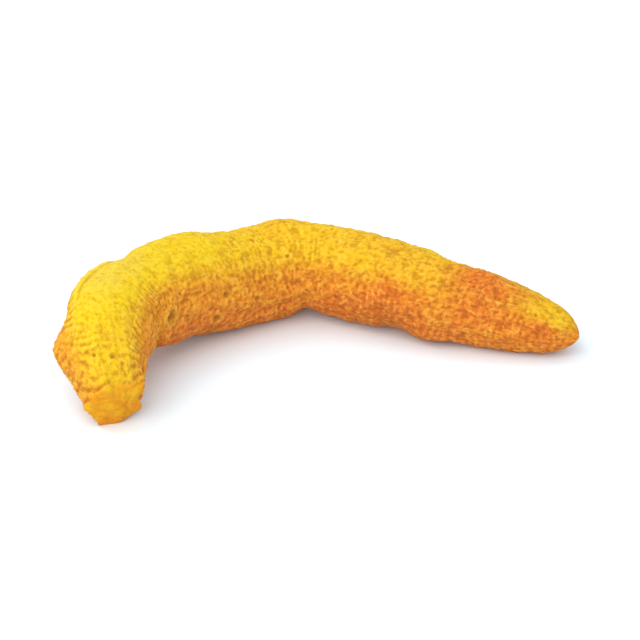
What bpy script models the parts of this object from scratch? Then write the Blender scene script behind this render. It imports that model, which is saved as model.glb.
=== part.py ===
"""A dried turmeric finger: one rhizome, bent near its broken end and pointed at the other.

Metres, +Z up. The finger lies on z = 0 on three low spots, and the origin is under the middle of its box.
"""

import math
import random

import bmesh
import bpy
from mathutils import Vector, noise

MM = 0.001

# The points that the spine bends towards, from the broken end to the tip: x, y, z and the radius there,
# in millimetres.
SPINE = (
    (-25.4, -17.6, 2.5, 3.8),
    (-26.6, -13.9, 5.6, 4.6),
    (-27.4, -8.6, 8.4, 5.4),
    (-26.5, -1.6, 9.6, 5.8),
    (-20.6, 3.8, 8.3, 6.1),
    (-13.0, 9.6, 6.1, 6.4),
    (-6.9, 13.0, 5.9, 6.1),
    (-1.3, 13.7, 6.3, 5.5),
    (4.9, 11.5, 6.2, 6.0),
    (13.2, 7.4, 5.7, 5.5),
    (17.9, 5.7, 5.2, 4.8),
    (23.6, 4.4, 4.5, 4.5),
    (28.3, 2.8, 3.8, 3.7),
    (33.4, 0.8, 2.9, 2.5),
)
SPINE_SAMPLES = 600
TIP_ROUNDING = 4.4 * MM

# How finely the skin is cut: rows along the side, rows across the broken face, and sides round.
SIDE_ROWS = 116
FACE_ROWS = 5
SIDES = 48

# Growth rings, the scars of the scale leaves that once wrapped the finger.
RING_SEED = 7
FIRST_RING = 3.0 * MM
RING_GAP = (3.4 * MM, 5.6 * MM)
RING_HEIGHT = (0.04 * MM, 0.14 * MM)
RING_HALF_WIDTH = 0.75 * MM
RING_LEAN = 1.1 * MM
RING_WAVER = 0.5 * MM

# Shrivel wrinkles that run along the finger, and the slow unevenness of the whole body.
WRINKLE_DEPTH = 0.10 * MM
WRINKLE_COUNTS = (7, 11, 16)
WRINKLE_DRIFT_LENGTH = 14.0 * MM
UNEVEN_DEPTH = 0.45 * MM
UNEVEN_LENGTH = 9.0 * MM
NOMINAL_RADIUS = 5.5 * MM

# Swellings and dents: distance from the broken face, angle round the spine (0 towards the inside of
# the bend, 90 up, 180 outside, 270 down), height, and the half lengths along and around.
LUMPS = (
    (1.0 * MM, 326.0, 0.8 * MM, 1.8 * MM, 1.7 * MM),
    (2.5 * MM, 200.0, -0.6 * MM, 3.0 * MM, 3.0 * MM),
    (8.7 * MM, 176.0, 1.5 * MM, 2.6 * MM, 2.6 * MM),
    (13.0 * MM, 180.0, -0.6 * MM, 1.8 * MM, 3.0 * MM),
    (11.5 * MM, 345.0, 0.9 * MM, 3.4 * MM, 3.5 * MM),
    (19.5 * MM, 338.0, 1.0 * MM, 3.2 * MM, 3.6 * MM),
    (24.5 * MM, 318.0, 1.1 * MM, 3.4 * MM, 3.8 * MM),
    (21.3 * MM, 130.0, -0.8 * MM, 2.2 * MM, 3.6 * MM),
    (30.0 * MM, 115.0, 0.9 * MM, 4.0 * MM, 4.0 * MM),
    (44.5 * MM, 115.0, 0.9 * MM, 3.4 * MM, 3.5 * MM),
    (51.0 * MM, 100.0, 0.3 * MM, 3.0 * MM, 4.0 * MM),
    (47.5 * MM, 310.0, -0.8 * MM, 2.0 * MM, 4.0 * MM),
    (62.0 * MM, 303.0, -0.7 * MM, 2.8 * MM, 4.0 * MM),
    (60.6 * MM, 355.0, -0.2 * MM, 1.4 * MM, 3.5 * MM),
    (71.0 * MM, 95.0, 0.4 * MM, 3.0 * MM, 3.0 * MM),
    (81.5 * MM, 60.0, -0.35 * MM, 2.2 * MM, 2.6 * MM),
    (83.0 * MM, 322.0, 0.1 * MM, 2.0 * MM, 2.0 * MM),
)

# The collar where the slimmer last year's growth leaves the body, and the collar of the broken end.
COLLARS = (
    (3.2 * MM, 0.24 * MM, 0.60 * MM, 0.7 * MM, 150.0),
    (2.3 * MM, -0.22 * MM, 0.40 * MM, 0.4 * MM, 150.0),
    (64.3 * MM, 0.30 * MM, 1.7 * MM, 2.7 * MM, 15.0),
)

# The break: a rough five-cornered face that tilts back towards its top, with its inner side snapped
# off at a slant.
BREAK_CORNERS = 5
BREAK_TURN = 34.0
BREAK_TILT = 0.28
BREAK_REACH = 3.5 * MM
BREAK_SLANT_START = 1.5 * MM
BREAK_SLANT = 0.50
BREAK_ROUGHNESS = 0.12 * MM
RIM_ROWS_AT = (0.0, 0.35, 0.68, 0.9, 1.0)
RIM_WEAR = 0.22 * MM

SKIN_COLOUR = (0.86, 0.37, 0.02, 1.0)
SKIN_ROUGHNESS = 0.92


def spine_point(t):
    """The spine at t, from 0 at its first point to 1 at its last, as x, y, z and radius in metres."""
    last = len(SPINE) - 1
    index = min(int(t * last), last - 1)
    part = t * last - index
    start = Vector(SPINE[index])
    end = Vector(SPINE[index + 1])
    before = Vector(SPINE[index - 1]) if index else start * 2 - end
    after = Vector(SPINE[index + 2]) if index + 2 <= last else end * 2 - start
    # A cubic B-spline: its four weights always add up to six.
    pull_before = (1 - part) ** 3
    pull_start = 3 * part**3 - 6 * part**2 + 4
    pull_end = 3 * part + 3 * part**2 - 3 * part**3 + 1
    pull_after = part**3
    pulled = before * pull_before + start * pull_start + end * pull_end + after * pull_after
    return pulled * (MM / 6)


def measured_spine():
    """Samples of the spine, each with its distance from the broken face."""
    samples = [spine_point(i / SPINE_SAMPLES) for i in range(SPINE_SAMPLES + 1)]
    distances = [0.0]
    for here, there in zip(samples, samples[1:]):
        distances.append(distances[-1] + (there.xyz - here.xyz).length)
    return samples, distances


SAMPLES, DISTANCES = measured_spine()
LENGTH = DISTANCES[-1]


def spine_frame(along):
    """Centre, direction, inner side, upper side and radius of the spine at a distance along it."""
    low, high = 0, SPINE_SAMPLES
    while high - low > 1:
        middle = (low + high) // 2
        if DISTANCES[middle] <= along:
            low = middle
        else:
            high = middle
    share = (along - DISTANCES[low]) / (DISTANCES[high] - DISTANCES[low])
    here = SAMPLES[low].lerp(SAMPLES[high], share)
    direction = (SAMPLES[min(high + 2, SPINE_SAMPLES)] - SAMPLES[max(low - 2, 0)]).xyz.normalized()
    inner = direction.cross(Vector((0, 0, 1))).normalized()
    upper = inner.cross(direction)
    return here.xyz, direction, inner, upper, here.w


def ring_places():
    """Each growth ring's place, height, lean and the angle that it leans towards."""
    chance = random.Random(RING_SEED)
    rings = []
    place = FIRST_RING
    while place < LENGTH - TIP_ROUNDING:
        height = chance.uniform(*RING_HEIGHT)
        lean = chance.uniform(-RING_LEAN, RING_LEAN)
        rings.append((place, height, lean, chance.uniform(0, math.tau)))
        place += chance.uniform(*RING_GAP)
    return rings


RINGS = ring_places()


def hump(distance, half_width):
    """A smooth hump of height 1, which is nearly gone at twice its half width."""
    return math.exp(-((distance / half_width) ** 2))


def growth_rings(along, angle):
    """Height of the growth rings: a low ridge with a shallow furrow on its tip side."""
    waver = RING_WAVER * noise.noise(Vector((math.cos(angle) * 1.5, math.sin(angle) * 1.5, along / (9 * MM))))
    height = 0.0
    for place, ridge, lean, towards in RINGS:
        away = along - place - waver - lean * math.cos(angle - towards)
        if abs(away) < 4 * RING_HALF_WIDTH:
            furrow = 0.7 * hump(away - 1.4 * RING_HALF_WIDTH, RING_HALF_WIDTH)
            height += ridge * (hump(away, RING_HALF_WIDTH) - furrow)
    return height


def wrinkles(along, angle):
    """Height of the shrivel wrinkles, which drift round the finger and fade in and out along it."""
    height = 0.0
    for order, count in enumerate(WRINKLE_COUNTS):
        where = Vector((along / WRINKLE_DRIFT_LENGTH, 3.7 * order, 0.5))
        drift = 5.0 * noise.noise(where)
        side = Vector((math.cos(angle), math.sin(angle), along / WRINKLE_DRIFT_LENGTH + 7 * order))
        strength = 0.5 + noise.noise(side)
        height += strength * math.cos(count * angle + drift)
    return WRINKLE_DEPTH * height


def unevenness(along, angle):
    """Slow swells and hollows of the whole body."""
    round_way = NOMINAL_RADIUS / UNEVEN_LENGTH
    where = Vector((math.cos(angle) * round_way, math.sin(angle) * round_way, along / UNEVEN_LENGTH))
    return UNEVEN_DEPTH * noise.noise(where + Vector((3.1, 8.2, 1.7)))


def angle_between(one, other):
    """The angle between two directions round the spine, without its sign."""
    return abs((one - other + math.pi) % math.tau - math.pi)


def lumps(along, angle, radius):
    """Height of the named swellings and dents, and of the two collars."""
    height = 0.0
    for place, degrees, rise, half_length, half_width in LUMPS:
        aside = angle_between(angle, math.radians(degrees)) * radius
        height += rise * hump(along - place, half_length) * hump(aside, half_width)
    for place, rise, half_width, lean, degrees in COLLARS:
        away = along - place - lean * math.cos(angle - math.radians(degrees))
        height += rise * hump(away, half_width)
    return height


def break_depth(share, angle):
    """How far the broken face is set back, from its middle at share 0 to its rim at share 1."""
    radius = SPINE[0][3] * MM
    inward = share * radius * math.cos(angle)
    raised = radius + share * radius * math.sin(angle)
    return BREAK_TILT * raised + BREAK_SLANT * max(0.0, inward - BREAK_SLANT_START)


def break_corners(along, angle):
    """How far the five-cornered break pulls the outline in, as a share of the radius."""
    share = max(0.0, 1 - (along - break_depth(1.0, angle)) / BREAK_REACH)
    sector = math.tau / BREAK_CORNERS
    within = (angle - math.radians(BREAK_TURN)) % sector - sector / 2
    flat = math.cos(sector / 2) / math.cos(within)
    return 1 - share**2 * (1.06 - 1.12 * flat)


def tip_rounding(along):
    """Share of the radius that is left as the tip rounds off to a point."""
    into_tip = max(0.0, (along - LENGTH + TIP_ROUNDING) / TIP_ROUNDING)
    return math.sqrt(max(0.0, 1 - into_tip**2))


def skin_reach(along, angle, radius):
    """Distance from the spine to the skin."""
    relief = growth_rings(along, angle) + wrinkles(along, angle)
    relief += unevenness(along, angle) + lumps(along, angle, radius)
    return (radius * break_corners(along, angle) + relief) * tip_rounding(along)


def side_point(along, angle):
    """A point of the skin, on the side of the finger."""
    centre, _, inner, upper, radius = spine_frame(along)
    reach = skin_reach(along, angle, radius)
    return centre + (inner * math.cos(angle) + upper * math.sin(angle)) * reach


def face_point(share, angle):
    """A point of the broken face, from its middle at share 0 to its rim at share 1."""
    centre, direction, _, _, _ = spine_frame(0.0)
    middle = centre + direction * break_depth(0.0, angle)
    rim = side_point(break_depth(1.0, angle), angle)
    flat_depth = break_depth(0.0, angle) * (1 - share) + break_depth(1.0, angle) * share
    slant = break_depth(share, angle) - flat_depth
    point = middle.lerp(rim, share)
    rough = BREAK_ROUGHNESS * noise.noise(point / (1.3 * MM)) * (1 - share)
    wear = RIM_WEAR * (1 - share**6)
    return point + direction * (slant + rough - wear)


def skin_point(row, angle):
    """Where a corner of the rolled sheet goes. Row 0 is the middle of the broken face."""
    if row < FACE_ROWS - 1:
        return face_point(RIM_ROWS_AT[row], angle)
    share = (row - FACE_ROWS + 1) / SIDE_ROWS
    # Rows crowd towards the tip, where the skin closes.
    crowded = min(1.0, share + 0.012 * math.sin(math.pi * share) * share)
    start = break_depth(1.0, angle)
    return side_point(start + (LENGTH - start) * crowded, angle)


def rest_on_floor(point):
    """Flattens what would be under z = 0: the three spots that the finger lies on."""
    return Vector((point.x, point.y, max(point.z, 0.0)))


def rolled_skin():
    """A flat sheet of skin, rolled round the spine and closed at the seam, the face and the tip."""
    rows = FACE_ROWS - 1 + SIDE_ROWS
    sheet = bmesh.new()
    bmesh.ops.create_grid(sheet, x_segments=rows, y_segments=SIDES, size=0.5)
    for corner in sheet.verts:
        row = round((corner.co.x + 0.5) * rows)
        angle = (corner.co.y + 0.5) * math.tau
        corner.co = rest_on_floor(skin_point(row, angle))
    bmesh.ops.remove_doubles(sheet, verts=sheet.verts, dist=0.002 * MM)
    bmesh.ops.recalc_face_normals(sheet, faces=sheet.faces)
    return sheet


def turmeric_material():
    """Skin dusted with its own powder: deep yellow and quite matt."""
    material = bpy.data.materials.new("turmeric_skin")
    material.use_nodes = True
    shader = material.node_tree.nodes["Principled BSDF"]
    shader.inputs["Base Color"].default_value = SKIN_COLOUR
    shader.inputs["Roughness"].default_value = SKIN_ROUGHNESS
    shader.inputs["Metallic"].default_value = 0.0
    return material


def build():
    for old in list(bpy.data.objects):
        bpy.data.objects.remove(old, do_unlink=True)
    sheet = rolled_skin()
    mesh = bpy.data.meshes.new("turmeric_finger")
    sheet.to_mesh(mesh)
    sheet.free()
    mesh.shade_smooth()
    mesh.materials.append(turmeric_material())
    finger = bpy.data.objects.new("turmeric_finger", mesh)
    bpy.context.scene.collection.objects.link(finger)


build()
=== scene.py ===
"""A dried turmeric finger dusted with its own powder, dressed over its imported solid."""

import math
import random

import bmesh
import bpy
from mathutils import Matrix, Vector, noise


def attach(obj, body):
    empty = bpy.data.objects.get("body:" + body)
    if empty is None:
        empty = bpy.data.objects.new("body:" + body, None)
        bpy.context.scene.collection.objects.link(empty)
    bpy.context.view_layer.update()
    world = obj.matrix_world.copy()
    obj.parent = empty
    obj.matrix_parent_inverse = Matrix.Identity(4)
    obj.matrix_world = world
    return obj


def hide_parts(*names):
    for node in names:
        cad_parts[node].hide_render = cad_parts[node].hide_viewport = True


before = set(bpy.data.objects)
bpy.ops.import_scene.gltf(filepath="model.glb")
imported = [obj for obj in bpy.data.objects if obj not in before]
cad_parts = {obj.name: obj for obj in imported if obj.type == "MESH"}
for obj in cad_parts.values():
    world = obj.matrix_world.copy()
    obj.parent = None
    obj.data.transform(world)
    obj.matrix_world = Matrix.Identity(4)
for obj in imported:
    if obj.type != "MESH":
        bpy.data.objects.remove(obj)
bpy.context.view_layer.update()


# The line of the finger. A side shoot of the rhizome swelled as it grew, bent twice round what lay in
# its way, and was snapped off the mother bulb. The points pull a smooth curve towards them, from the
# broken end to the tip. Each is x, y, z and the radius there, in millimetres.
MM = 0.001
SPINE = (
    (-25.4, -17.6, 2.5, 3.8),
    (-26.6, -13.9, 5.6, 4.6),
    (-27.4, -8.6, 8.4, 5.4),
    (-26.5, -1.6, 9.6, 5.8),
    (-20.6, 3.8, 8.3, 6.1),
    (-13.0, 9.6, 6.1, 6.4),
    (-6.9, 13.0, 5.9, 6.1),
    (-1.3, 13.7, 6.3, 5.5),
    (4.9, 11.5, 6.2, 6.0),
    (13.2, 7.4, 5.7, 5.5),
    (17.9, 5.7, 5.2, 4.8),
    (23.6, 4.4, 4.5, 4.5),
    (28.3, 2.8, 3.8, 3.7),
    (33.4, 0.8, 2.9, 2.5),
)
SPINE_SAMPLES = 600
TIP_ROUNDING = 4.4 * MM
TIP_POINT_LENGTH = 0.3 * MM
TIP_POINT_RADIUS = 0.6 * MM
TIP_POINT_ASIDE = 0.5 * MM
TIP_POINT_ANGLE = 50.0


def spine_point(t):
    """The spine at t, from 0 at its first point to 1 at its last, as x, y, z and radius in metres."""
    last = len(SPINE) - 1
    index = min(int(t * last), last - 1)
    part = t * last - index
    start = Vector(SPINE[index])
    end = Vector(SPINE[index + 1])
    before = Vector(SPINE[index - 1]) if index else start * 2 - end
    after = Vector(SPINE[index + 2]) if index + 2 <= last else end * 2 - start
    # A cubic B-spline: its four weights always add up to six.
    pull_before = (1 - part) ** 3
    pull_start = 3 * part**3 - 6 * part**2 + 4
    pull_end = 3 * part + 3 * part**2 - 3 * part**3 + 1
    pull_after = part**3
    pulled = before * pull_before + start * pull_start + end * pull_end + after * pull_after
    return pulled * (MM / 6)


spine_samples = [spine_point(i / SPINE_SAMPLES) for i in range(SPINE_SAMPLES + 1)]
spine_distances = [0.0]
for here, there in zip(spine_samples, spine_samples[1:]):
    spine_distances.append(spine_distances[-1] + (there.xyz - here.xyz).length)
LENGTH = spine_distances[-1]


def spine_frame(along):
    """Centre, direction, inner side, upper side and radius of the spine at a distance along it."""
    low, high = 0, SPINE_SAMPLES
    while high - low > 1:
        middle = (low + high) // 2
        if spine_distances[middle] <= along:
            low = middle
        else:
            high = middle
    share = (along - spine_distances[low]) / (spine_distances[high] - spine_distances[low])
    centre = spine_samples[low].lerp(spine_samples[high], share)
    ahead = spine_samples[min(high + 2, SPINE_SAMPLES)]
    direction = (ahead - spine_samples[max(low - 2, 0)]).xyz.normalized()
    inner = direction.cross(Vector((0, 0, 1))).normalized()
    upper = inner.cross(direction)
    return centre.xyz, direction, inner, upper, centre.w


# The growth rings. Each is the scar of a scale leaf that wrapped the young finger and fell away: a low
# ridge with a furrow on its tip side. Finer lines lie between them, where the skin shrank in drying.
# They are strongest on the stub, the stretch between the broken end and the bend.
RING_SEED = 7
FIRST_RING = 3.0 * MM
RING_GAP = (3.4 * MM, 5.6 * MM)
RING_HEIGHT = (0.04 * MM, 0.14 * MM)
RING_HALF_WIDTH = 0.75 * MM
RING_REACH = 4 * RING_HALF_WIDTH
RING_FURROW_DEPTH = 0.7
RING_FURROW_AWAY = 1.4 * RING_HALF_WIDTH
RING_LEAN = 1.1 * MM
RING_WAVER = 0.5 * MM
RING_WAVER_LENGTH = 9.0 * MM
RING_WAVER_ROUND = 1.5
FINE_RING_HEIGHT = 0.05 * MM
FINE_RING_PITCH = 0.95 * MM
FINE_RING_SHIFT = 1.6
FINE_RING_SHIFT_LENGTH = 5.0 * MM
FINE_RING_SHIFT_ROUND = 1.1
FINE_RING_STRENGTH = 0.45
FINE_RING_PATCHINESS = 1.5
FINE_RING_PATCH_SCALE = 2.4
FINE_RING_PATCHES_FROM = Vector((5.0, 2.0, 8.0))
STUB_LENGTH = 17.0 * MM
STUB_FADE = 5.0 * MM
STUB_RING_GAIN = 2.0

ring_chance = random.Random(RING_SEED)
rings = []
ring_place = FIRST_RING
while ring_place < LENGTH - TIP_ROUNDING:
    ring_height = ring_chance.uniform(*RING_HEIGHT)
    ring_lean = ring_chance.uniform(-RING_LEAN, RING_LEAN)
    rings.append((ring_place, ring_height, ring_lean, ring_chance.uniform(0, math.tau)))
    ring_place += ring_chance.uniform(*RING_GAP)


def hump(distance, half_width):
    """A smooth hump of height 1, which is nearly gone at twice its half width."""
    return math.exp(-((distance / half_width) ** 2))


def noise_spot(angle, round_way, along_way):
    """Where to read the noise for a spot of the skin, so that it meets itself round the finger."""
    return Vector((math.cos(angle) * round_way, math.sin(angle) * round_way, along_way))


def growth_rings(along, angle):
    """Height of the growth rings, which waver and lean as they go round."""
    waver = RING_WAVER * noise.noise(noise_spot(angle, RING_WAVER_ROUND, along / RING_WAVER_LENGTH))
    height = 0.0
    for place, ridge, lean, towards in rings:
        away = along - place - waver - lean * math.cos(angle - towards)
        if abs(away) < RING_REACH:
            furrow = RING_FURROW_DEPTH * hump(away - RING_FURROW_AWAY, RING_HALF_WIDTH)
            height += ridge * (hump(away, RING_HALF_WIDTH) - furrow)
    return height


def fine_rings(along, angle):
    """Thin lines between the rings. They come and go round the finger."""
    slow = noise_spot(angle, FINE_RING_SHIFT_ROUND, along / FINE_RING_SHIFT_LENGTH)
    shift = FINE_RING_SHIFT * noise.noise(slow)
    patch = noise.noise(slow * FINE_RING_PATCH_SCALE + FINE_RING_PATCHES_FROM)
    strength = max(0.0, FINE_RING_STRENGTH + FINE_RING_PATCHINESS * patch)
    strength *= 1 + STUB_RING_GAIN * min(1.0, max(0.0, (STUB_LENGTH - along) / STUB_FADE))
    wave = math.cos(math.tau * (along / FINE_RING_PITCH + shift))
    return FINE_RING_HEIGHT * strength * wave * abs(wave)


# The shrivelled body. As the flesh dried, the skin sank into slow hollows, and drew up into wrinkles
# that run along the finger. A finer net of curling fibres lies over them, drawn out beyond the stub.
WRINKLE_DEPTH = 0.10 * MM
WRINKLE_COUNTS = (7, 11, 16)
WRINKLE_DRIFT = 5.0
WRINKLE_DRIFT_LENGTH = 14.0 * MM
WRINKLE_DRIFT_LEVEL = 0.5
WRINKLE_DRIFTS_APART = 3.7
WRINKLE_STRENGTH = 0.5
WRINKLE_STRENGTHS_APART = 7.0
UNEVEN_DEPTH = 0.45 * MM
UNEVEN_LENGTH = 9.0 * MM
UNEVEN_FROM = Vector((3.1, 8.2, 1.7))
NOMINAL_RADIUS = 5.5 * MM
NET_HEIGHT = 0.09 * MM
NET_LENGTH_ON_STUB = 0.90 * MM
NET_LENGTH_BEYOND = 1.45 * MM
NET_WIDTH = 0.68 * MM
NET_CURL = 0.9
NET_CURL_LENGTH = 2.2 * MM
NET_CURL_ROUND = 3.0
NET_THINNESS = 0.2
NET_GROUND = 0.35


def wrinkles(along, angle):
    """Height of the shrivel wrinkles, which drift round the finger and fade in and out along it."""
    height = 0.0
    for order, count in enumerate(WRINKLE_COUNTS):
        slow = along / WRINKLE_DRIFT_LENGTH
        drift_spot = Vector((slow, WRINKLE_DRIFTS_APART * order, WRINKLE_DRIFT_LEVEL))
        drift = WRINKLE_DRIFT * noise.noise(drift_spot)
        strength_spot = noise_spot(angle, 1.0, slow + WRINKLE_STRENGTHS_APART * order)
        strength = WRINKLE_STRENGTH + noise.noise(strength_spot)
        height += strength * math.cos(count * angle + drift)
    return WRINKLE_DEPTH * height


def unevenness(along, angle):
    """Slow swells and hollows of the whole body."""
    spot = noise_spot(angle, NOMINAL_RADIUS / UNEVEN_LENGTH, along / UNEVEN_LENGTH)
    return UNEVEN_DEPTH * noise.noise(spot + UNEVEN_FROM)


def fibre_net(along, angle):
    """A net of thin raised fibres, with their mean height at about zero."""
    on_stub = min(along, STUB_LENGTH) / NET_LENGTH_ON_STUB
    long_way = on_stub + max(0.0, along - STUB_LENGTH) / NET_LENGTH_BEYOND
    curl = NET_CURL * noise.noise(noise_spot(angle, NET_CURL_ROUND, along / NET_CURL_LENGTH))
    spot = noise_spot(angle, NOMINAL_RADIUS / NET_WIDTH, long_way + curl)
    return hump(noise.noise(spot), NET_THINNESS) - NET_GROUND


# The marks of its own growth: the bud on the outer side of the stub, the swell that fills the inside of
# the bend, the notch between the two swells of the belly, and the collar where its last growth starts.
LUMP_REACH = 3
# Each is its distance from the broken end, its angle round the spine, its height, and its half length and
# half width.
LUMPS = (
    (1.0 * MM, 326.0, 0.8 * MM, 1.8 * MM, 1.7 * MM),
    (2.5 * MM, 200.0, -0.6 * MM, 3.0 * MM, 3.0 * MM),
    (8.7 * MM, 176.0, 1.5 * MM, 2.6 * MM, 2.6 * MM),
    (13.0 * MM, 180.0, -0.6 * MM, 1.8 * MM, 3.0 * MM),
    (11.5 * MM, 345.0, 0.9 * MM, 3.4 * MM, 3.5 * MM),
    (19.5 * MM, 338.0, 1.0 * MM, 3.2 * MM, 3.6 * MM),
    (24.5 * MM, 318.0, 1.1 * MM, 3.4 * MM, 3.8 * MM),
    (21.3 * MM, 130.0, -0.8 * MM, 2.2 * MM, 3.6 * MM),
    (30.0 * MM, 115.0, 0.9 * MM, 4.0 * MM, 4.0 * MM),
    (44.5 * MM, 115.0, 0.9 * MM, 3.4 * MM, 3.5 * MM),
    (51.0 * MM, 100.0, 0.3 * MM, 3.0 * MM, 4.0 * MM),
    (47.5 * MM, 310.0, -0.8 * MM, 2.0 * MM, 4.0 * MM),
    (62.0 * MM, 303.0, -0.7 * MM, 2.8 * MM, 4.0 * MM),
    (60.6 * MM, 355.0, -0.2 * MM, 1.4 * MM, 3.5 * MM),
    (71.0 * MM, 95.0, 0.4 * MM, 3.0 * MM, 3.0 * MM),
    (81.5 * MM, 60.0, -0.35 * MM, 2.2 * MM, 2.6 * MM),
    (83.0 * MM, 322.0, 0.1 * MM, 2.0 * MM, 2.0 * MM),
)
# Each is its distance, its height, its half width, and the amount and the angle of its lean.
COLLARS = (
    (3.2 * MM, 0.24 * MM, 0.60 * MM, 0.7 * MM, 150.0),
    (2.3 * MM, -0.22 * MM, 0.40 * MM, 0.4 * MM, 150.0),
    (64.3 * MM, 0.30 * MM, 1.7 * MM, 2.7 * MM, 15.0),
)

# An old scale left a worn, bowed edge on the back of the bend, with a groove beside it. It runs from the
# first distance and angle to the last ones.
SCALE_EDGE = (12.9 * MM, 132.0, 19.2 * MM, 114.0)
SCALE_EDGE_RISE = 0.34 * MM
SCALE_EDGE_HALF_WIDTH = 0.30 * MM
SCALE_EDGE_BOW = 0.45 * MM
SCALE_EDGE_TAPER = 0.36
SCALE_GROOVE_DEPTH = 0.8
SCALE_GROOVE_AWAY = 1.7 * SCALE_EDGE_HALF_WIDTH
SCALE_WEAR_LENGTH = 0.9 * MM
SCALE_WEAR_FROM = Vector((0.0, 4.0, 1.0))


def scale_edge(along, angle, radius):
    """Height of the edge that the old scale left, and of the groove beside it."""
    first_along, first_degrees, last_along, last_degrees = SCALE_EDGE
    first = Vector((first_along, math.radians(first_degrees) * radius))
    line = Vector((last_along, math.radians(last_degrees) * radius)) - first
    here = Vector((along, (angle % math.tau) * radius)) - first
    share = here.dot(line) / line.length**2
    bow = SCALE_EDGE_BOW * (1 - (2 * share - 1) ** 2)
    beside = line.cross(here) / line.length - bow
    groove = hump(beside + SCALE_GROOVE_AWAY, SCALE_EDGE_HALF_WIDTH)
    profile = hump(beside, SCALE_EDGE_HALF_WIDTH) - SCALE_GROOVE_DEPTH * groove
    worn = 1 + noise.noise(Vector((along / SCALE_WEAR_LENGTH, 0.0, 0.0)) + SCALE_WEAR_FROM)
    return SCALE_EDGE_RISE * profile * worn * hump(share - 0.5, SCALE_EDGE_TAPER)


def angle_between(one, other):
    """The angle between two directions round the spine, without its sign."""
    return abs((one - other + math.pi) % math.tau - math.pi)


def lumps(along, angle, radius):
    """Height of the swellings and dents, and of the collars."""
    height = 0.0
    for place, degrees, rise, half_length, half_width in LUMPS:
        if abs(along - place) < LUMP_REACH * half_length:
            aside = angle_between(angle, math.radians(degrees)) * radius
            height += rise * hump(along - place, half_length) * hump(aside, half_width)
    for place, rise, half_width, lean, degrees in COLLARS:
        away = along - place - lean * math.cos(angle - math.radians(degrees))
        height += rise * hump(away, half_width)
    return height


# The root scars: small ragged pits with a raised lip, where thin roots left the finger and broke off.
# Each is its distance from the broken end, its angle round the spine, and its radius. The depth and the
# lip's measures are shares of that radius.
ROOT_SCARS = (
    (21.3 * MM, 357.0, 0.80 * MM),
    (30.6 * MM, 342.0, 0.52 * MM),
    (31.6 * MM, 12.0, 0.40 * MM),
    (37.0 * MM, 2.0, 0.42 * MM),
    (44.3 * MM, 47.0, 0.30 * MM),
    (5.6 * MM, 85.0, 0.38 * MM),
    (6.0 * MM, 112.0, 0.32 * MM),
    (4.8 * MM, 71.0, 0.26 * MM),
    (14.5 * MM, 215.0, 0.60 * MM),
    (27.0 * MM, 205.0, 0.50 * MM),
    (36.0 * MM, 238.0, 0.60 * MM),
    (40.5 * MM, 190.0, 0.45 * MM),
    (52.0 * MM, 222.0, 0.65 * MM),
    (58.5 * MM, 172.0, 0.45 * MM),
    (66.0 * MM, 250.0, 0.55 * MM),
    (72.0 * MM, 205.0, 0.40 * MM),
)
SCAR_DEPTH = 0.36
SCAR_LIP = 0.22
SCAR_LIP_AWAY = 1.35
SCAR_LIP_HALF_WIDTH = 0.40
SCAR_REACH = 3
SCAR_RAGGEDNESS = 0.45
SCAR_RAG_SIZE = 0.45 * MM


def root_scars(point):
    """Height of the lips and depth of the pits at a point of the smooth skin, and the share of a pit."""
    lip = 0.0
    depth = 0.0
    inside = 0.0
    ragged = 1 + SCAR_RAGGEDNESS * noise.noise(point / SCAR_RAG_SIZE)
    for centre, size in scar_centres:
        away = (point - centre).length / size * ragged
        if away < SCAR_REACH:
            pit = math.exp(-(away**4))
            lip += SCAR_LIP * size * hump(away - SCAR_LIP_AWAY, SCAR_LIP_HALF_WIDTH)
            depth += SCAR_DEPTH * size * pit
            inside = max(inside, pit)
    return lip, depth, inside


# The broken end. The finger was snapped from the mother bulb, so it ends in a rough five-cornered face
# that tilts back towards its top, with worn corners and one side broken away at a slant.
BREAK_CORNERS = 5
BREAK_CORNERS_OUT = 0.06
BREAK_TURN = 34.0
BREAK_TILT = 0.28
BREAK_REACH = 3.5 * MM
BREAK_SLANT_START = 1.5 * MM
BREAK_SLANT = 0.50
BREAK_CRACK_DEPTH = 0.35 * MM
BREAK_CRACK_HALF_WIDTH = 0.28 * MM
BREAK_CRACK_SHARPNESS = 4
BREAK_ROUGHNESS = 0.30 * MM
BREAK_ROUGHNESS_SIZE = 1.3 * MM
BREAK_GRAIN = 0.12 * MM
BREAK_GRAIN_SIZE = 0.55 * MM
BREAK_GRAIN_FADE = 0.25
RIM_WEAR = 0.12 * MM
RIM_SHARPNESS = 6


def break_depth(share, angle):
    """How far the broken face is set back, from its middle at share 0 to its rim at share 1."""
    radius = SPINE[0][3] * MM
    inward = share * radius * math.cos(angle)
    raised = radius + share * radius * math.sin(angle)
    return BREAK_TILT * raised + BREAK_SLANT * max(0.0, inward - BREAK_SLANT_START)


def break_corners(along, angle):
    """How far the five-cornered break pulls the outline in, as a share of the radius."""
    share = max(0.0, 1 - (along - break_depth(1.0, angle)) / BREAK_REACH)
    sector = math.tau / BREAK_CORNERS
    within = (angle - math.radians(BREAK_TURN)) % sector - sector / 2
    flat = math.cos(sector / 2) / math.cos(within)
    return 1 - share**2 * (1 + BREAK_CORNERS_OUT - (1 + 2 * BREAK_CORNERS_OUT) * flat)


# The powder. The fingers were polished against each other in a drum, which rubbed them to dust, and
# the dust stuck to the damp skin as a fine crust of grains. Where it lies thick, it fills most of the
# fine relief.
GRAIN_HEIGHT = 0.11 * MM
GRAIN_SIZE = 0.46 * MM
CRUST_HEIGHT = 0.07 * MM
CRUST_SIZE = 1.0 * MM
CRUST_FROM = Vector((2.0, 9.0, 4.0))
FILLED_SHARE = 0.68
FILLED_FROM = 0.70
FILLED_FULL = 1.1


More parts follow.
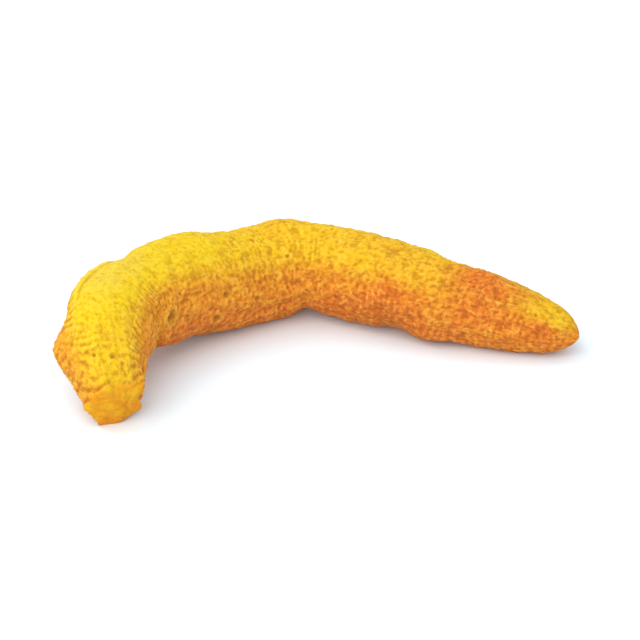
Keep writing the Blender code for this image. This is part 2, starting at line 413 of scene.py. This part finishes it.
def powder_crust(point):
    """Height of the crust and its grains at a point of the skin."""
    crust = noise.noise(point / CRUST_SIZE + CRUST_FROM)
    grain = noise.noise(point / GRAIN_SIZE)
    return CRUST_HEIGHT * crust + GRAIN_HEIGHT * grain


# How thick the powder lies: more where the skin faces up, less on the flanks and below. This paints the
# top yellower and the flanks and underside darker and more orange: partly real powder, partly painted
# light from above and painted shade below. On top of that come the places where it is heaped or rubbed
# off, a few of them painted shade, each as its distance from the broken end, its angle round the spine,
# the change in cover, and its half length and half width.
COVER_LEVEL = 0.16
LIGHT_AND_COVER_RISE = 0.20
LIGHT_AND_COVER_ON_TOP = 0.45
LIGHT_AND_COVER_EDGE = (0.32, 0.86)
COVER_ON_COLLAR = 0.11
COVER_PLACES = (
    (17.5 * MM, 112.0, 0.48, 6.5 * MM, 7.0 * MM),
    (2.2 * MM, 90.0, -0.40, 0.5 * MM, 3.4 * MM),
    (5.5 * MM, 190.0, 0.20, 4.5 * MM, 3.2 * MM),
    (14.5 * MM, 346.0, 0.05, 5.0 * MM, 3.0 * MM),
    (29.0 * MM, 85.0, 0.18, 6.0 * MM, 5.0 * MM),
    (43.0 * MM, 90.0, -0.08, 6.0 * MM, 6.0 * MM),
    (57.0 * MM, 80.0, -0.14, 6.0 * MM, 4.0 * MM),
    (31.0 * MM, 44.0, -0.06, 7.0 * MM, 2.0 * MM),
    (80.4 * MM, 25.0, -0.40, 1.3 * MM, 1.2 * MM),
    (29.0 * MM, 322.0, -0.18, 9.0 * MM, 2.6 * MM),
    # The next two are partly bare skin and partly painted shade: in the furrow before the collar, and low
    # on the inner side where the finger nears the table.
    (60.4 * MM, 10.0, -0.22, 1.4 * MM, 4.5 * MM),
    (59.0 * MM, 330.0, -0.40, 7.5 * MM, 3.4 * MM),
    (65.0 * MM, 20.0, -0.10, 6.0 * MM, 5.0 * MM),
    # This one is partly rubbed-off powder and partly a painted shadow over the top of the tip.
    (72.0 * MM, 75.0, -0.90, 6.0 * MM, 3.8 * MM),
)


def powder_and_painted_light(along, angle, skyward, radius):
    """Cover of powder and painted light, from about 0 for bare or shaded skin to 1 for a full coat, and
    more where it is heaped.
    """
    top_share = min(1.0, max(0.0, (skyward - LIGHT_AND_COVER_EDGE[0]) / (LIGHT_AND_COVER_EDGE[1] - LIGHT_AND_COVER_EDGE[0])))
    cover = COVER_LEVEL + LIGHT_AND_COVER_RISE * skyward + LIGHT_AND_COVER_ON_TOP * top_share**2 * (3 - 2 * top_share)
    for place, degrees, change, half_length, half_width in COVER_PLACES:
        aside = angle_between(angle, math.radians(degrees)) * radius
        cover += change * hump(along - place, half_length) * hump(aside, half_width)
    place, _, half_width, lean, degrees = COLLARS[-1]
    away = along - place - lean * math.cos(angle - math.radians(degrees))
    return cover + COVER_ON_COLLAR * hump(away, half_width)


# The skin itself: one sheet, rolled round the spine and closed at its seam, at the broken face and at
# the tip. Its rows and sides are fine enough to hold every ring, wrinkle and grain as real shape.
SIDE_ROWS = 420
FACE_ROWS = 18
SIDES = 224
SEAM_ANGLE = -math.pi / 2
BREAK_EDGE_FADE = 0.35 * MM
MERGE_DISTANCE = 0.002 * MM


def tip_rounding(along):
    """Share of the radius that is left as the tip rounds off to a point."""
    into_tip = max(0.0, (along - LENGTH + TIP_ROUNDING) / TIP_ROUNDING)
    return math.sqrt(max(0.0, 1 - into_tip**2))


def tip_point(along, angle, reach):
    """How far the small dried bud at the very tip stands out, ahead of the rounded end."""
    if along < LENGTH - TIP_ROUNDING:
        return 0.0
    turned = angle - math.radians(TIP_POINT_ANGLE)
    away = math.hypot(reach * math.cos(turned) - TIP_POINT_ASIDE, reach * math.sin(turned))
    return TIP_POINT_LENGTH * hump(away, TIP_POINT_RADIUS)


def smooth_skin(along, angle):
    """The skin without its fine relief: spine centre, direction, outward side, radius and reach."""
    centre, direction, inner, upper, radius = spine_frame(along)
    outward = inner * math.cos(angle) + upper * math.sin(angle)
    form = growth_rings(along, angle) + wrinkles(along, angle)
    form += unevenness(along, angle) + lumps(along, angle, radius)
    return centre, direction, outward, radius, radius * break_corners(along, angle) + form


# The middle of each root scar, on the smooth skin.
scar_centres = []
for place, degrees, size in ROOT_SCARS:
    centre, _, outward, _, smooth = smooth_skin(place, math.radians(degrees))
    scar_centres.append((centre + outward * smooth, size))


def skin_place(along, angle):
    """A point on the side of the finger, and its marks: fine relief, depth in a pit, and powder with
    painted light.
    """
    centre, direction, outward, radius, smooth = smooth_skin(along, angle)
    scar_lip, scar_depth, inside_scar = root_scars(centre + outward * smooth)
    cover = powder_and_painted_light(along, angle, outward.z * tip_rounding(along), radius)
    filled = FILLED_SHARE * min(1.0, max(0.0, (cover - FILLED_FROM) / (FILLED_FULL - FILLED_FROM)))
    fine = NET_HEIGHT * fibre_net(along, angle) + fine_rings(along, angle)
    fine += powder_crust(centre + outward * smooth)
    fine = fine * (1 - filled) + scale_edge(along, angle, radius) + scar_lip
    reach = (smooth + fine - scar_depth) * tip_rounding(along)
    place = centre + outward * reach + direction * tip_point(along, angle, reach)
    return place, fine / MM, inside_scar, cover


def face_place(share, angle):
    """A point of the broken face, from its middle at share 0 to its rim at share 1, and its marks."""
    centre, direction, _, _, _ = spine_frame(0.0)
    middle = centre + direction * break_depth(0.0, angle)
    rim, _, _, cover = skin_place(break_depth(1.0, angle), angle)
    flat_depth = break_depth(0.0, angle) * (1 - share) + break_depth(1.0, angle) * share
    slant = break_depth(share, angle) - flat_depth
    point = middle.lerp(rim, share)
    rough = BREAK_ROUGHNESS * noise.noise(point / BREAK_ROUGHNESS_SIZE) * (1 - share)
    grain = BREAK_GRAIN * noise.noise(point / BREAK_GRAIN_SIZE) * min(1.0, (1 - share) / BREAK_GRAIN_FADE)
    wear = RIM_WEAR * (1 - share**RIM_SHARPNESS)
    inward = share * SPINE[0][3] * MM * math.cos(angle)
    crack = BREAK_CRACK_DEPTH * hump(inward - BREAK_SLANT_START, BREAK_CRACK_HALF_WIDTH)
    crack *= 1 - share**BREAK_CRACK_SHARPNESS
    lift = slant + rough + grain + crack - wear
    return point + direction * lift, -(crack + rough / 2 + grain) / MM, 0.0, cover


skin = bmesh.new()
skin.loops.layers.uv.new("UVMap")
bmesh.ops.create_grid(skin, x_segments=FACE_ROWS + SIDE_ROWS, y_segments=SIDES, size=0.5, calc_uvs=True)
fine_mark = skin.verts.layers.float.new("fine_relief")
scar_mark = skin.verts.layers.float.new("root_scar")
break_mark = skin.verts.layers.float.new("broken_face")
cover_mark = skin.verts.layers.float.new("powder_and_painted_light")
for corner in skin.verts:
    row = round((corner.co.x + 0.5) * (FACE_ROWS + SIDE_ROWS))
    angle = (corner.co.y + 0.5) * math.tau + SEAM_ANGLE
    if row < FACE_ROWS:
        share = math.sqrt(row / FACE_ROWS) if row else 0.0
        place, fine, inside_scar, cover = face_place(share, angle)
        corner[break_mark] = 1.0
    else:
        start = break_depth(1.0, angle)
        along = start + (LENGTH - start) * (row - FACE_ROWS) / SIDE_ROWS
        place, fine, inside_scar, cover = skin_place(along, angle)
        corner[break_mark] = hump(along - start, BREAK_EDGE_FADE)
    corner.co = Vector((place.x, place.y, max(place.z, 0.0)))
    corner[fine_mark] = fine
    corner[scar_mark] = inside_scar
    corner[cover_mark] = cover
bmesh.ops.remove_doubles(skin, verts=skin.verts, dist=MERGE_DISTANCE)
bmesh.ops.recalc_face_normals(skin, faces=skin.faces)
skin_mesh = bpy.data.meshes.new("turmeric_skin")
skin.to_mesh(skin_mesh)
skin.free()
skin_mesh.shade_smooth()
finger = bpy.data.objects.new("turmeric_skin", skin_mesh)
bpy.context.scene.collection.objects.link(finger)

# The skin's finish: deep yellow powder over a darker orange skin that shows where it is rubbed off. The
# colour is painted yellower on the top and on the ridges and darker and more orange in the furrows and
# low on
# the sides: partly real powder and partly painted light and shade. Noises of five sizes scatter it.
HEAPED_AND_LIT_COLOUR = (0.74, 0.535, 0.056, 1.0)
POWDER_COLOUR = (0.77, 0.52, 0.010, 1.0)
SKIN_COLOUR = (0.67, 0.172, 0.022, 1.0)
DEEP_COLOUR = (0.36, 0.084, 0.010, 1.0)
PATCH_SIZE = 3.2 * MM
BLOTCH_SIZE = 1.1 * MM
TANGLE_SIZE = 0.62 * MM
SPECK_SIZE = 0.42 * MM
DUST_SIZE = 0.28 * MM


class Wiring:
    """Adds nodes to one material's tree and links them, so that a pattern reads as one line a step."""

    def __init__(self, tree):
        self.tree = tree

    def node(self, kind, **settings):
        made = self.tree.nodes.new(kind)
        for name, value in settings.items():
            setattr(made, name, value)
        return made

    def put(self, socket, value):
        if isinstance(value, bpy.types.NodeSocket):
            self.tree.links.new(value, socket)
        else:
            socket.default_value = value

    def maths(self, operation, first, second=0.0, clamp=False):
        made = self.node("ShaderNodeMath", operation=operation, use_clamp=clamp)
        self.put(made.inputs[0], first)
        self.put(made.inputs[1], second)
        return made.outputs[0]

    def between(self, value, low, high):
        """0 below low, 1 above high, and smooth between them."""
        made = self.node("ShaderNodeMapRange", interpolation_type="SMOOTHSTEP")
        self.put(made.inputs["Value"], value)
        made.inputs["From Min"].default_value = low
        made.inputs["From Max"].default_value = high
        return made.outputs["Result"]

    def mix(self, share, first, second):
        """Mixes two colours, which a mix node takes at its inputs 6 and 7."""
        made = self.node("ShaderNodeMix", data_type="RGBA")
        self.put(made.inputs[0], share)
        self.put(made.inputs[6], first)
        self.put(made.inputs[7], second)
        return made.outputs[2]

    def speckle(self, places, size, detail=2.0, roughness=0.5):
        """Noise of about that grain size, in metres, centred on 0.5."""
        made = self.node("ShaderNodeTexNoise")
        self.put(made.inputs["Vector"], places)
        made.inputs["Scale"].default_value = 0.5 / size
        made.inputs["Detail"].default_value = detail
        made.inputs["Roughness"].default_value = roughness
        return made.outputs["Fac"]

    def push(self, speckle, height):
        """Noise centred on 0.5, made into a push up or down from 0."""
        return self.maths("MULTIPLY", self.maths("SUBTRACT", speckle, 0.5), height)

    def mark(self, name):
        return self.node("ShaderNodeAttribute", attribute_name=name).outputs["Fac"]


powdered = bpy.data.materials.new("powdered_turmeric")
powdered.use_nodes = True
wire = Wiring(powdered.node_tree)
shader = powdered.node_tree.nodes["Principled BSDF"]
places = wire.node("ShaderNodeTexCoord").outputs["Object"]
fine = wire.mark("fine_relief")
scar = wire.mark("root_scar")
broken = wire.mark("broken_face")
patches = wire.speckle(places, PATCH_SIZE, detail=3.0)
dust = wire.speckle(places, DUST_SIZE, roughness=0.6)
specks = wire.speckle(places, SPECK_SIZE, detail=1.0)
blotches = wire.speckle(places, BLOTCH_SIZE)
tangle = wire.speckle(places, TANGLE_SIZE, detail=1.0)

# The cover of powder is uneven, in patches and in grains. It also rises on the ridges of the fine relief
# and falls in its furrows, which paints light on the ridges and shade in the furrows.
BY_RELIEF = 0.75
BY_PATCHES = 0.27
BY_BLOTCHES = 0.26
BY_DUST = 0.28
HEAPED_AND_LIT_GAIN = 2.5
BARE_AND_SHADE_GAIN = -1.1
relief_light_and_dust = wire.maths("ADD", wire.maths("MULTIPLY", fine, BY_RELIEF), wire.push(dust, BY_DUST))
scattered = wire.maths("ADD", wire.push(patches, BY_PATCHES), wire.push(blotches, BY_BLOTCHES))
cover = wire.maths("ADD", wire.mark("powder_and_painted_light"), wire.maths("ADD", relief_light_and_dust, scattered))
powder_and_light_share = wire.maths("ADD", cover, 0.0, clamp=True)
# Where the cover runs over 1, mostly on the top, the powder is painted paler: partly heaped powder and
# partly painted light.
heaped_and_lit_share = wire.maths("MULTIPLY", wire.maths("SUBTRACT", cover, 1.0), HEAPED_AND_LIT_GAIN, clamp=True)
colour = wire.mix(powder_and_light_share, SKIN_COLOUR, POWDER_COLOUR)
colour = wire.mix(heaped_and_lit_share, colour, HEAPED_AND_LIT_COLOUR)
# Where the cover falls below 0, low on the sides and in the darkest patches, the skin is painted deep
# brown: partly bare skin and partly painted shade.
bare_and_shade_share = wire.maths("MULTIPLY", cover, BARE_AND_SHADE_GAIN, clamp=True)
colour = wire.mix(bare_and_shade_share, colour, DEEP_COLOUR)

# Thin threads of the torn outer skin hold a line of powder, even where the rest is rubbed bare. The
# ridges of the fine relief are painted paler in the same way, as a painted highlight.
THREAD_COLOUR = (0.84, 0.39, 0.060, 1.0)
THREAD_HALF_WIDTHS = (0.010, 0.050)
THREAD_BREAKS = (0.38, 0.55)
THREAD_SHARE = 0.50
RIDGE_HEIGHTS = (0.02, 0.13)
RIDGE_HIGHLIGHT_SHARE = 0.30
off_thread = wire.maths("ABSOLUTE", wire.maths("SUBTRACT", tangle, 0.5))
thread_share = wire.maths("SUBTRACT", 1.0, wire.between(off_thread, *THREAD_HALF_WIDTHS))
thread_share = wire.maths("MULTIPLY", thread_share, wire.between(dust, *THREAD_BREAKS))
on_threads = wire.maths("MULTIPLY", thread_share, THREAD_SHARE)
# A painted highlight on the ridges of the fine relief.
painted_ridge_highlight = wire.maths("MULTIPLY", wire.between(fine, *RIDGE_HEIGHTS), RIDGE_HIGHLIGHT_SHARE)
thread_and_highlight_colour = wire.mix(powder_and_light_share, THREAD_COLOUR, HEAPED_AND_LIT_COLOUR)
colour = wire.mix(wire.maths("ADD", on_threads, painted_ridge_highlight), colour, thread_and_highlight_colour)

# The furrows between the fibres and grains are painted darker, brown on bare skin and olive under powder,
# as painted shade in the recesses of the relief.
OLIVE_COLOUR = (0.46, 0.25, 0.006, 1.0)
FURROW_TOP = 0.05
FURROW_BOTTOM = -0.10
FURROW_NOISE = 0.30
FURROW_SHADE = 0.62
FURROW_FILLED = 0.10
grainy_relief = wire.maths("ADD", fine, wire.push(dust, FURROW_NOISE))
furrow_shade_share = wire.between(grainy_relief, FURROW_TOP, FURROW_BOTTOM)
furrow_shade = wire.maths("SUBTRACT", FURROW_SHADE, wire.maths("MULTIPLY", powder_and_light_share, FURROW_FILLED))
furrow_shade_colour = wire.mix(powder_and_light_share, DEEP_COLOUR, OLIVE_COLOUR)
colour = wire.mix(wire.maths("MULTIPLY", furrow_shade_share, furrow_shade), colour, furrow_shade_colour)

# Dark specks of bare skin, more of them where less powder lies.
SPECK_RARITY = 0.12
SPECK_LEVELS = (0.30, 0.52)
SPECK_SHARE = 0.35
speck_bias = wire.maths("ADD", specks, wire.maths("MULTIPLY", powder_and_light_share, SPECK_RARITY))
speck_share = wire.maths("SUBTRACT", 1.0, wire.between(speck_bias, *SPECK_LEVELS))
colour = wire.mix(wire.maths("MULTIPLY", speck_share, SPECK_SHARE), colour, DEEP_COLOUR)

# The broken face shows orange flesh through its powder, and the pits of the root scars are brown.
FLESH_COLOUR = (0.77, 0.31, 0.004, 1.0)
SCAR_COLOUR = (0.30, 0.115, 0.008, 1.0)
FACE_LEVELS = (0.42, 0.78)
FACE_SHARE = 0.65
SCAR_SHARE = 0.78
face_colour = wire.mix(wire.between(blotches, *FACE_LEVELS), FLESH_COLOUR, POWDER_COLOUR)
colour = wire.mix(wire.maths("MULTIPLY", broken, FACE_SHARE), colour, face_colour)
colour = wire.mix(wire.maths("MULTIPLY", scar, SCAR_SHARE), colour, SCAR_COLOUR)
wire.put(shader.inputs["Base Color"], colour)

# The powder is quite matt. Light sinks a little way into it, and its grains catch the light at the rim.
BARE_ROUGHNESS = 0.82
POWDER_ROUGHNESS = 0.14
DUST_BUMP = 0.8
SHINE = 0.10
GLOW_SHARE = 0.12
GLOW_DEPTHS = (1.0, 0.35, 0.05)
GLOW_DEPTH = 0.9 * MM
SHEEN = 0.09
SHEEN_ROUGHNESS = 0.5
SHEEN_COLOUR = (1.0, 0.82, 0.35, 1.0)
rougher = wire.maths("MULTIPLY", powder_and_light_share, POWDER_ROUGHNESS)
wire.put(shader.inputs["Roughness"], wire.maths("ADD", BARE_ROUGHNESS, rougher))
powder_bump = wire.node("ShaderNodeBump")
powder_bump.inputs["Strength"].default_value = DUST_BUMP
powder_bump.inputs["Distance"].default_value = DUST_SIZE
wire.put(powder_bump.inputs["Height"], dust)
wire.put(shader.inputs["Normal"], powder_bump.outputs[0])
shader.inputs["Specular IOR Level"].default_value = SHINE
shader.inputs["Subsurface Weight"].default_value = GLOW_SHARE
shader.inputs["Subsurface Radius"].default_value = GLOW_DEPTHS
shader.inputs["Subsurface Scale"].default_value = GLOW_DEPTH
shader.inputs["Sheen Weight"].default_value = SHEEN
shader.inputs["Sheen Roughness"].default_value = SHEEN_ROUGHNESS
shader.inputs["Sheen Tint"].default_value = SHEEN_COLOUR
skin_mesh.materials.append(powdered)
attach(finger, "root")
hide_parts("turmeric_finger")


# The plain pale table and the soft light of the studio. A wide lamp stands behind on the left and a
# wider one in front, the whole room is pale, and the camera looks down at the finger as in the photo.
# Each lamp is its name, its place, the width of its disk, and its power.
FLOOR_HALF_SIZE = 1.5
FLOOR_COLOUR = (0.85, 0.93, 0.98, 1.0)
FLOOR_ROUGHNESS = 0.9
FLOOR_SHINE = 0.1
ROOM_LIGHT = 0.92
ROOM_COLOUR = (0.93, 0.97, 1.0, 1.0)
LAMPS = (
    ("wide_lamp", Vector((-0.33, 0.08, 0.44)), 0.45, 0.78),
    ("front_lamp", Vector((-0.15, -0.38, 0.42)), 0.60, 1.95),
)
CAMERA_LENS = 188.0
CAMERA_DISTANCE = 0.43
CAMERA_ELEVATION = 30.0
CAMERA_TARGET = Vector((0.0, 0.0, 0.006))
CAMERA_NEAREST = 0.01

floor_shape = bmesh.new()
bmesh.ops.create_grid(floor_shape, x_segments=1, y_segments=1, size=FLOOR_HALF_SIZE)
floor_mesh = bpy.data.meshes.new("table_top")
floor_shape.to_mesh(floor_mesh)
floor_shape.free()
table_top = bpy.data.objects.new("table_top", floor_mesh)
bpy.context.scene.collection.objects.link(table_top)
pale = bpy.data.materials.new("pale_table")
pale.use_nodes = True
pale_shader = pale.node_tree.nodes["Principled BSDF"]
pale_shader.inputs["Base Color"].default_value = FLOOR_COLOUR
pale_shader.inputs["Roughness"].default_value = FLOOR_ROUGHNESS
pale_shader.inputs["Specular IOR Level"].default_value = FLOOR_SHINE
floor_mesh.materials.append(pale)

room = bpy.data.worlds.new("pale_room")
room.use_nodes = True
room.node_tree.nodes["Background"].inputs["Color"].default_value = ROOM_COLOUR
room.node_tree.nodes["Background"].inputs["Strength"].default_value = ROOM_LIGHT
bpy.context.scene.world = room

for lamp_name, lamp_place, lamp_size, lamp_power in LAMPS:
    lamp_light = bpy.data.lights.new(lamp_name, "AREA")
    lamp_light.shape = "DISK"
    lamp_light.size = lamp_size
    lamp_light.energy = lamp_power
    lamp = bpy.data.objects.new(lamp_name, lamp_light)
    lamp.location = lamp_place
    lamp.rotation_mode = "QUATERNION"
    lamp.rotation_quaternion = (-lamp_place).to_track_quat("-Z", "Y")
    bpy.context.scene.collection.objects.link(lamp)

camera_eye = bpy.data.cameras.new("camera")
camera_eye.lens = CAMERA_LENS
camera_eye.clip_start = CAMERA_NEAREST
camera = bpy.data.objects.new("camera", camera_eye)
elevation = math.radians(CAMERA_ELEVATION)
looking_back = Vector((0.0, -math.cos(elevation), math.sin(elevation)))
camera.location = CAMERA_TARGET + looking_back * CAMERA_DISTANCE
camera.rotation_mode = "QUATERNION"
camera.rotation_quaternion = (-looking_back).to_track_quat("-Z", "Y")
bpy.context.scene.collection.objects.link(camera)
bpy.context.scene.camera = camera
bpy.context.scene.view_settings.view_transform = "Standard"
